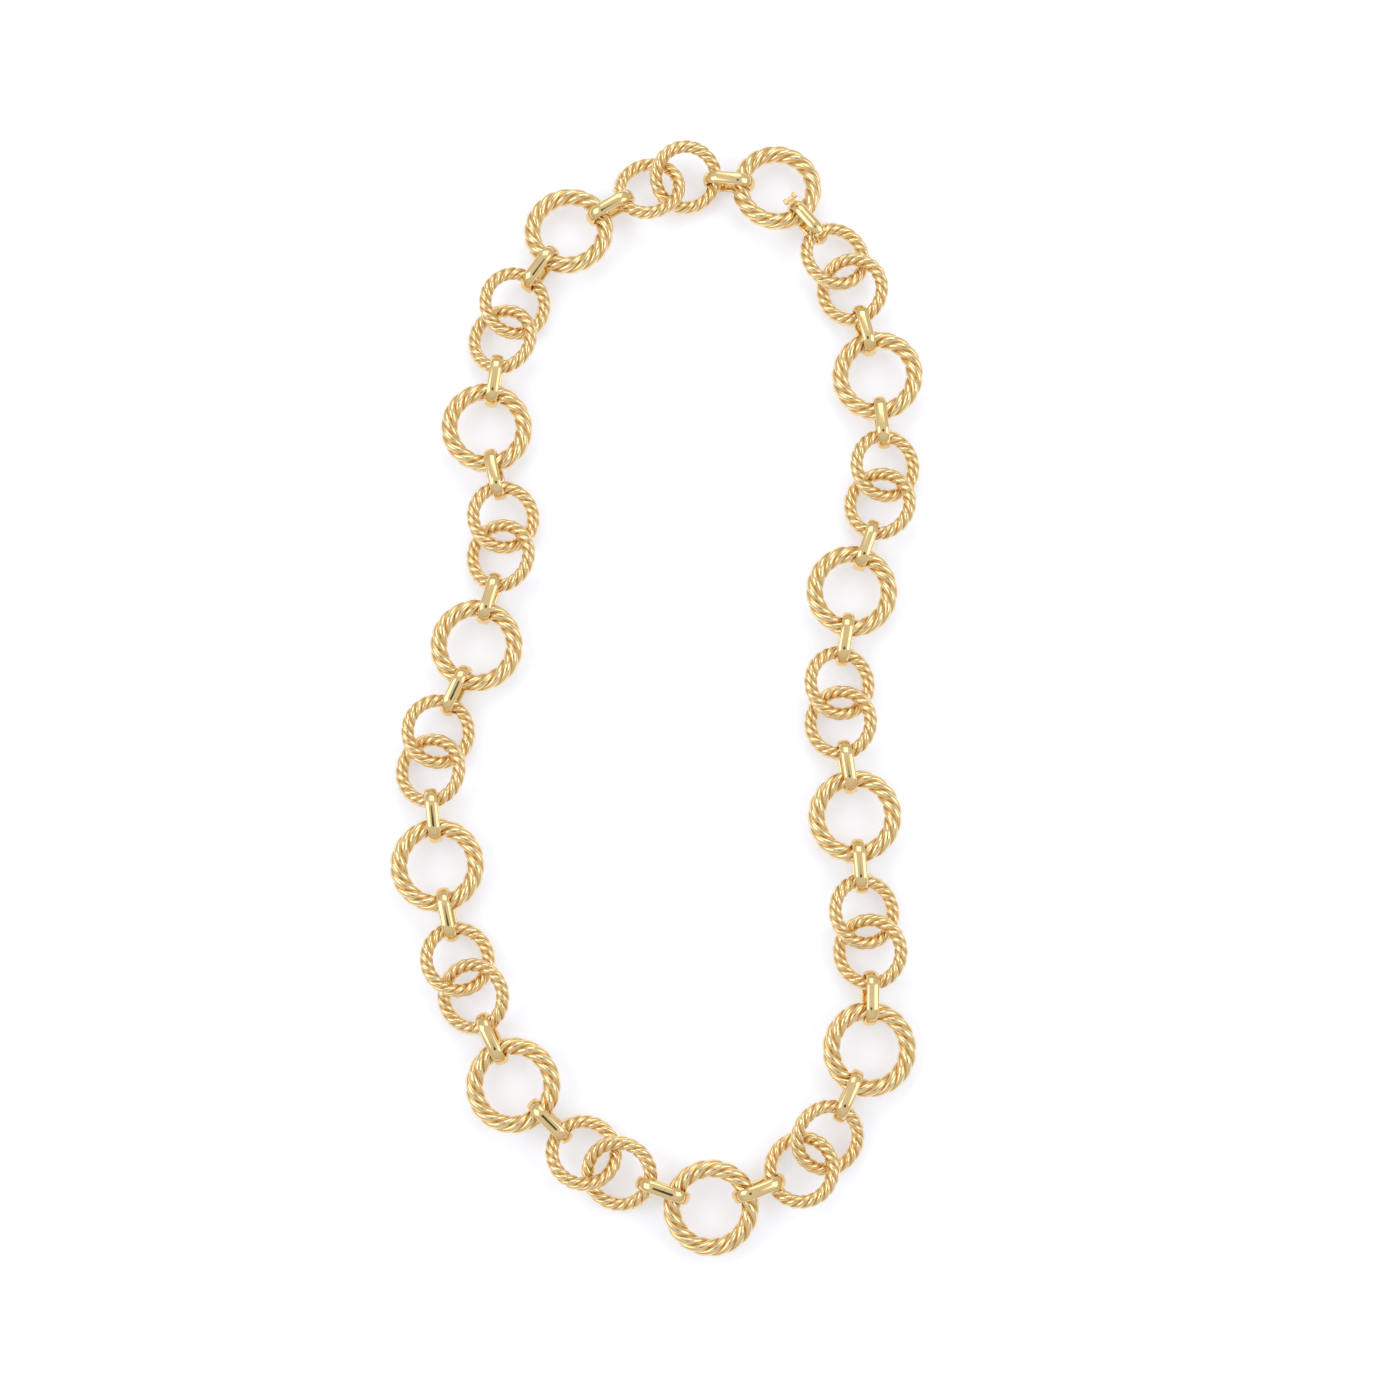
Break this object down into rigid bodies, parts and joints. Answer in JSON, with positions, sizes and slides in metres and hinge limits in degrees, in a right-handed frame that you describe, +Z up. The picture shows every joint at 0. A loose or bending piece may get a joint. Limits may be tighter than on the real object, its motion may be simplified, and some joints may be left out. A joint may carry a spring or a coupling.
{
  "type": "chain necklace",
  "caption": "Closed chain necklace of large and small rope-twist rings, the small ones interlocked in pairs, joined by polished oval links with a hinged link clasp.",
  "frame": {"origin": "on the table under the middle of the necklace's box", "axes": "+Y from the front ring towards the clasp, +Z up off the table"},
  "size_m": [0.0988, 0.2088, 0.0078],
  "materials": {
    "gold_rope": "polished gold plate on twisted wire",
    "gold_polished": "mirror-polished gold plate"
  },
  "bodies": {
    "big_ring_01": {"big_ring_01": "gold_rope"},
    "oval_link_01": {"oval_link_01": "gold_polished"},
    "oval_link_02": {"oval_link_02": "gold_polished"},
    "oval_link_03": {"oval_link_03": "gold_polished"},
    "oval_link_04": {"oval_link_04": "gold_polished"},
    "oval_link_05": {"oval_link_05": "gold_polished"},
    "oval_link_06": {"oval_link_06": "gold_polished"},
    "oval_link_07": {"oval_link_07": "gold_polished"},
    "oval_link_08": {"oval_link_08": "gold_polished"},
    "oval_link_09": {"oval_link_09": "gold_polished"},
    "oval_link_10": {"oval_link_10": "gold_polished"},
    "oval_link_11": {"oval_link_11": "gold_polished"},
    "oval_link_12": {"oval_link_12": "gold_polished"},
    "clasp": {"clasp_frame": "gold_polished", "clasp_hinge_pin": "gold_polished"},
    "clasp_gate": {"clasp_gate": "gold_polished", "clasp_thumb_tab": "gold_polished"},
    "oval_link_14": {"oval_link_14": "gold_polished"},
    "oval_link_15": {"oval_link_15": "gold_polished"},
    "oval_link_16": {"oval_link_16": "gold_polished"},
    "oval_link_17": {"oval_link_17": "gold_polished"},
    "oval_link_18": {"oval_link_18": "gold_polished"},
    "oval_link_19": {"oval_link_19": "gold_polished"},
    "oval_link_20": {"oval_link_20": "gold_polished"},
    "oval_link_21": {"oval_link_21": "gold_polished"},
    "oval_link_22": {"oval_link_22": "gold_polished"},
    "small_ring_01": {"small_ring_01": "gold_rope"},
    "small_ring_02": {"small_ring_02": "gold_rope"},
    "big_ring_02": {"big_ring_02": "gold_rope"},
    "small_ring_03": {"small_ring_03": "gold_rope"},
    "small_ring_04": {"small_ring_04": "gold_rope"},
    "big_ring_03": {"big_ring_03": "gold_rope"},
    "small_ring_05": {"small_ring_05": "gold_rope"},
    "small_ring_06": {"small_ring_06": "gold_rope"},
    "big_ring_04": {"big_ring_04": "gold_rope"},
    "small_ring_07": {"small_ring_07": "gold_rope"},
    "small_ring_08": {"small_ring_08": "gold_rope"},
    "big_ring_05": {"big_ring_05": "gold_rope"},
    "small_ring_09": {"small_ring_09": "gold_rope"},
    "small_ring_10": {"small_ring_10": "gold_rope"},
    "big_ring_06": {"big_ring_06": "gold_rope"},
    "small_ring_11": {"small_ring_11": "gold_rope"},
    "small_ring_12": {"small_ring_12": "gold_rope"},
    "big_ring_07": {"big_ring_07": "gold_rope"},
    "small_ring_13": {"small_ring_13": "gold_rope"},
    "small_ring_14": {"small_ring_14": "gold_rope"},
    "big_ring_08": {"big_ring_08": "gold_rope"},
    "small_ring_15": {"small_ring_15": "gold_rope"},
    "small_ring_16": {"small_ring_16": "gold_rope"},
    "big_ring_09": {"big_ring_09": "gold_rope"},
    "small_ring_17": {"small_ring_17": "gold_rope"},
    "small_ring_18": {"small_ring_18": "gold_rope"},
    "big_ring_10": {"big_ring_10": "gold_rope"},
    "small_ring_19": {"small_ring_19": "gold_rope"},
    "small_ring_20": {"small_ring_20": "gold_rope"},
    "big_ring_11": {"big_ring_11": "gold_rope"},
    "small_ring_21": {"small_ring_21": "gold_rope"},
    "small_ring_22": {"small_ring_22": "gold_rope"}
  },
  "joints": [
    {"name": "fold_1_left", "type": "hinge", "parent": "big_ring_01", "child": "oval_link_03", "pos_m": [-0.0294, -0.06782, 0.00398], "axis": [-0.9945, -0.1047, -0.002], "range_deg": [-45, 45]},
    {"name": "fold_1_right", "type": "hinge", "parent": "big_ring_01", "child": "oval_link_20", "pos_m": [0.03812, -0.06071, 0.00411], "axis": [-0.9945, -0.1047, -0.002], "range_deg": [-45, 45]},
    {"name": "fold_2_left", "type": "hinge", "parent": "oval_link_03", "child": "oval_link_05", "pos_m": [-0.04142, -0.02743, 0.00389], "axis": [0.998, -0.0628, 0.0003], "range_deg": [-90, 45]},
    {"name": "fold_2_right", "type": "hinge", "parent": "oval_link_20", "child": "oval_link_18", "pos_m": [0.03633, -0.03232, 0.00391], "axis": [0.998, -0.0628, 0.0003], "range_deg": [-90, 45]},
    {"name": "fold_3_left", "type": "hinge", "parent": "oval_link_05", "child": "oval_link_07", "pos_m": [-0.0325, 0.01332, 0.00398], "axis": [-0.9987, 0.0512, 0.0015], "range_deg": [-90, 45]},
    {"name": "fold_3_right", "type": "hinge", "parent": "oval_link_18", "child": "oval_link_16", "pos_m": [0.03461, 0.00988, 0.00388], "axis": [-0.9987, 0.0512, 0.0015], "range_deg": [-90, 45]},
    {"name": "fold_4_left", "type": "hinge", "parent": "oval_link_07", "child": "oval_link_09", "pos_m": [-0.03183, 0.05509, 0.0038], "axis": [0.9987, -0.051, 0.0008], "range_deg": [-90, 45]},
    {"name": "fold_4_right", "type": "hinge", "parent": "oval_link_16", "child": "oval_link_14", "pos_m": [0.04132, 0.05135, 0.00386], "axis": [0.9987, -0.051, 0.0008], "range_deg": [-90, 45]},
    {"name": "clasp_gate_hinge", "type": "hinge", "parent": "clasp", "child": "clasp_gate", "pos_m": [0.03014, 0.08569, 0.00652], "axis": [0.7635, 0.6456, 0.0174], "range_deg": [0, 80]},
    {"name": "clasp_roll", "type": "hinge", "parent": "oval_link_14", "child": "clasp", "pos_m": [0.02784, 0.08847, 0.00426], "axis": [0.6452, -0.7636, 0.0243], "range_deg": [-25, 1]},
    {"name": "oval_link_01_roll", "type": "hinge", "parent": "big_ring_01", "child": "oval_link_01", "pos_m": [0.00063, -0.09275, 0.00421], "axis": [-0.9448, 0.3277, 0.0078], "range_deg": [-24, 4]},
    {"name": "oval_link_02_roll", "type": "hinge", "parent": "big_ring_01", "child": "oval_link_02", "pos_m": [-0.01974, -0.08049, 0.00378], "axis": [-0.7104, 0.698, 0.0903], "range_deg": [-1, 19]},
    {"name": "oval_link_04_roll", "type": "hinge", "parent": "oval_link_03", "child": "oval_link_04", "pos_m": [-0.03879, -0.04338, 0.00376], "axis": [-0.2033, 0.9773, 0.0598], "range_deg": [-2, 26]},
    {"name": "oval_link_06_roll", "type": "hinge", "parent": "oval_link_05", "child": "oval_link_06", "pos_m": [-0.03785, -0.00193, 0.00378], "axis": [0.414, 0.9058, 0.0905], "range_deg": [-3, 25]},
    {"name": "oval_link_08_roll", "type": "hinge", "parent": "oval_link_07", "child": "oval_link_08", "pos_m": [-0.03111, 0.03914, 0.00404], "axis": [-0.2145, 0.9711, -0.1045], "range_deg": [0, 31]},
    {"name": "oval_link_10_roll", "type": "hinge", "parent": "oval_link_09", "child": "oval_link_10", "pos_m": [-0.02317, 0.07942, 0.00379], "axis": [0.5923, 0.7938, 0.1378], "range_deg": [-3, 12]},
    {"name": "oval_link_11_roll", "type": "hinge", "parent": "oval_link_09", "child": "oval_link_11", "pos_m": [-0.00979, 0.09143, 0.00417], "axis": [0.8647, 0.5011, 0.0347], "range_deg": [-28, 1]},
    {"name": "oval_link_12_roll", "type": "hinge", "parent": "oval_link_09", "child": "oval_link_12", "pos_m": [0.01285, 0.09682, 0.00374], "axis": [0.9661, -0.1586, 0.2035], "range_deg": [-7, 2]},
    {"name": "oval_link_15_roll", "type": "hinge", "parent": "oval_link_16", "child": "oval_link_15", "pos_m": [0.04152, 0.04915, 0.00406], "axis": [0.0923, -0.9917, 0.089], "range_deg": [-9, 1]},
    {"name": "oval_link_17_roll", "type": "hinge", "parent": "oval_link_18", "child": "oval_link_17", "pos_m": [0.03427, 0.0077, 0.00378], "axis": [-0.1565, -0.9866, -0.0453], "range_deg": [-13, 4]},
    {"name": "oval_link_19_roll", "type": "hinge", "parent": "oval_link_20", "child": "oval_link_19", "pos_m": [0.03651, -0.03451, 0.00388], "axis": [0.0791, -0.9967, -0.0166], "range_deg": [-9, 3]},
    {"name": "oval_link_21_roll", "type": "hinge", "parent": "big_ring_01", "child": "oval_link_21", "pos_m": [0.03402, -0.07602, 0.00424], "axis": [-0.4107, -0.91, 0.0568], "range_deg": [-25, 1]},
    {"name": "oval_link_22_roll", "type": "hinge", "parent": "big_ring_01", "child": "oval_link_22", "pos_m": [0.01787, -0.09242, 0.00374], "axis": [-0.918, -0.3421, 0.2006], "range_deg": [0, 13]},
    {"name": "small_ring_01_spin", "type": "hinge", "parent": "big_ring_01", "child": "small_ring_01", "pos_m": [-0.00719, -0.08983, 0.00393], "axis": [-0.1586, -0.2747, 0.9484], "continuous": true},
    {"name": "small_ring_02_spin", "type": "hinge", "parent": "big_ring_01", "child": "small_ring_02", "pos_m": [-0.0136, -0.08613, 0.00393], "axis": [0.1586, 0.2747, 0.9484], "continuous": true},
    {"name": "big_ring_02_spin", "type": "hinge", "parent": "big_ring_01", "child": "big_ring_02", "pos_m": [-0.02644, -0.07416, 0.00393], "axis": [-0.0282, -0.0205, 0.9994], "continuous": true},
    {"name": "small_ring_03_spin", "type": "hinge", "parent": "oval_link_03", "child": "small_ring_03", "pos_m": [-0.03385, -0.05826, 0.00393], "axis": [-0.2897, -0.129, 0.9484], "continuous": true},
    {"name": "small_ring_04_spin", "type": "hinge", "parent": "oval_link_03", "child": "small_ring_04", "pos_m": [-0.03686, -0.0515, 0.00393], "axis": [0.2897, 0.129, 0.9484], "continuous": true},
    {"name": "big_ring_03_spin", "type": "hinge", "parent": "oval_link_03", "child": "big_ring_03", "pos_m": [-0.04081, -0.0344, 0.00393], "axis": [0.0861, 0.0136, 0.9962], "continuous": true},
    {"name": "small_ring_05_spin", "type": "hinge", "parent": "oval_link_05", "child": "small_ring_05", "pos_m": [-0.04234, -0.01692, 0.00393], "axis": [-0.3124, 0.0551, 0.9484], "continuous": true},
    {"name": "small_ring_06_spin", "type": "hinge", "parent": "oval_link_05", "child": "small_ring_06", "pos_m": [-0.04106, -0.00963, 0.00393], "axis": [0.3124, -0.0551, 0.9484], "continuous": true},
    {"name": "big_ring_04_spin", "type": "hinge", "parent": "oval_link_05", "child": "big_ring_04", "pos_m": [-0.0342, 0.00653, 0.00393], "axis": [0.0827, -0.0277, 0.9962], "continuous": true},
    {"name": "small_ring_07_spin", "type": "hinge", "parent": "oval_link_07", "child": "small_ring_07", "pos_m": [-0.02995, 0.02356, 0.00393], "axis": [-0.3496, 0.0183, 0.9367], "continuous": true},
    {"name": "small_ring_08_spin", "type": "hinge", "parent": "oval_link_07", "child": "small_ring_08", "pos_m": [-0.02957, 0.03095, 0.00393], "axis": [0.2835, -0.0149, 0.9589], "continuous": true},
    {"name": "big_ring_05_spin", "type": "hinge", "parent": "oval_link_07", "child": "big_ring_05", "pos_m": [-0.03291, 0.04817, 0.00393], "axis": [0.1045, 0.0018, 0.9945], "continuous": true},
    {"name": "small_ring_09_spin", "type": "hinge", "parent": "oval_link_09", "child": "small_ring_09", "pos_m": [-0.03017, 0.06551, 0.00393], "axis": [-0.3016, 0.098, 0.9484], "continuous": true},
    {"name": "small_ring_10_spin", "type": "hinge", "parent": "oval_link_09", "child": "small_ring_10", "pos_m": [-0.02788, 0.07254, 0.00393], "axis": [0.3016, -0.098, 0.9484], "continuous": true},
    {"name": "big_ring_06_spin", "type": "hinge", "parent": "oval_link_09", "child": "big_ring_06", "pos_m": [-0.01782, 0.08692, 0.00393], "axis": [-0.0699, 0.0777, 0.9945], "continuous": true},
    {"name": "small_ring_11_spin", "type": "hinge", "parent": "oval_link_09", "child": "small_ring_11", "pos_m": [-0.00247, 0.09543, 0.00393], "axis": [-0.098, 0.3016, 0.9484], "continuous": true},
    {"name": "small_ring_12_spin", "type": "hinge", "parent": "oval_link_09", "child": "small_ring_12", "pos_m": [0.00457, 0.09772, 0.00393], "axis": [0.098, -0.3016, 0.9484], "continuous": true},
    {"name": "big_ring_07_spin", "type": "hinge", "parent": "oval_link_09", "child": "big_ring_07", "pos_m": [0.02199, 0.09558, 0.00393], "axis": [0.0507, 0.0914, 0.9945], "continuous": true},
    {"name": "small_ring_13_spin", "type": "hinge", "parent": "oval_link_14", "child": "small_ring_13", "pos_m": [0.03304, 0.08194, 0.00393], "axis": [0.2851, 0.139, 0.9484], "continuous": true},
    {"name": "small_ring_14_spin", "type": "hinge", "parent": "oval_link_14", "child": "small_ring_14", "pos_m": [0.03628, 0.07529, 0.00393], "axis": [-0.2851, -0.139, 0.9484], "continuous": true},
    {"name": "big_ring_08_spin", "type": "hinge", "parent": "oval_link_14", "child": "big_ring_08", "pos_m": [0.04082, 0.05834, 0.00393], "axis": [-0.1031, -0.0173, 0.9945], "continuous": true},
    {"name": "small_ring_15_spin", "type": "hinge", "parent": "oval_link_16", "child": "small_ring_15", "pos_m": [0.04205, 0.04083, 0.00393], "axis": [0.3141, -0.0441, 0.9484], "continuous": true},
    {"name": "small_ring_16_spin", "type": "hinge", "parent": "oval_link_16", "child": "small_ring_16", "pos_m": [0.04102, 0.0335, 0.00393], "axis": [-0.3141, 0.0441, 0.9484], "continuous": true},
    {"name": "big_ring_09_spin", "type": "hinge", "parent": "oval_link_16", "child": "big_ring_09", "pos_m": [0.03559, 0.01681, 0.00393], "axis": [0.0849, -0.0196, 0.9962], "continuous": true},
    {"name": "small_ring_17_spin", "type": "hinge", "parent": "oval_link_18", "child": "small_ring_17", "pos_m": [0.03315, -0.00057, 0.00393], "axis": [0.3171, 0.0055, 0.9484], "continuous": true},
    {"name": "small_ring_18_spin", "type": "hinge", "parent": "oval_link_18", "child": "small_ring_18", "pos_m": [0.03328, -0.00797, 0.00393], "axis": [-0.3171, -0.0055, 0.9484], "continuous": true},
    {"name": "big_ring_10_spin", "type": "hinge", "parent": "oval_link_18", "child": "big_ring_10", "pos_m": [0.03572, -0.02535, 0.00393], "axis": [-0.1039, -0.0118, 0.9945], "continuous": true},
    {"name": "small_ring_19_spin", "type": "hinge", "parent": "oval_link_20", "child": "small_ring_19", "pos_m": [0.03725, -0.04283, 0.00393], "axis": [0.3467, 0.0487, 0.9367], "continuous": true},
    {"name": "small_ring_20_spin", "type": "hinge", "parent": "oval_link_20", "child": "small_ring_20", "pos_m": [0.03828, -0.05016, 0.00393], "axis": [-0.2811, -0.0395, 0.9589], "continuous": true},
    {"name": "big_ring_11_spin", "type": "hinge", "parent": "big_ring_01", "child": "big_ring_11", "pos_m": [0.03798, -0.06771, 0.00393], "axis": [0.1185, -0.0285, 0.9925], "continuous": true},
    {"name": "small_ring_21_spin", "type": "hinge", "parent": "big_ring_01", "child": "small_ring_21", "pos_m": [0.03028, -0.08348, 0.00393], "axis": [0.2682, -0.225, 0.9367], "continuous": true},
    {"name": "small_ring_22_spin", "type": "hinge", "parent": "big_ring_01", "child": "small_ring_22", "pos_m": [0.02553, -0.08915, 0.00393], "axis": [-0.2175, 0.1825, 0.9589], "continuous": true}
  ],
  "couplings": [
    {"joint": "fold_1_right", "follows": "fold_1_left", "ratio": 1},
    {"joint": "fold_2_right", "follows": "fold_2_left", "ratio": 1},
    {"joint": "fold_3_right", "follows": "fold_3_left", "ratio": 1},
    {"joint": "fold_4_right", "follows": "fold_4_left", "ratio": 1}
  ]
}
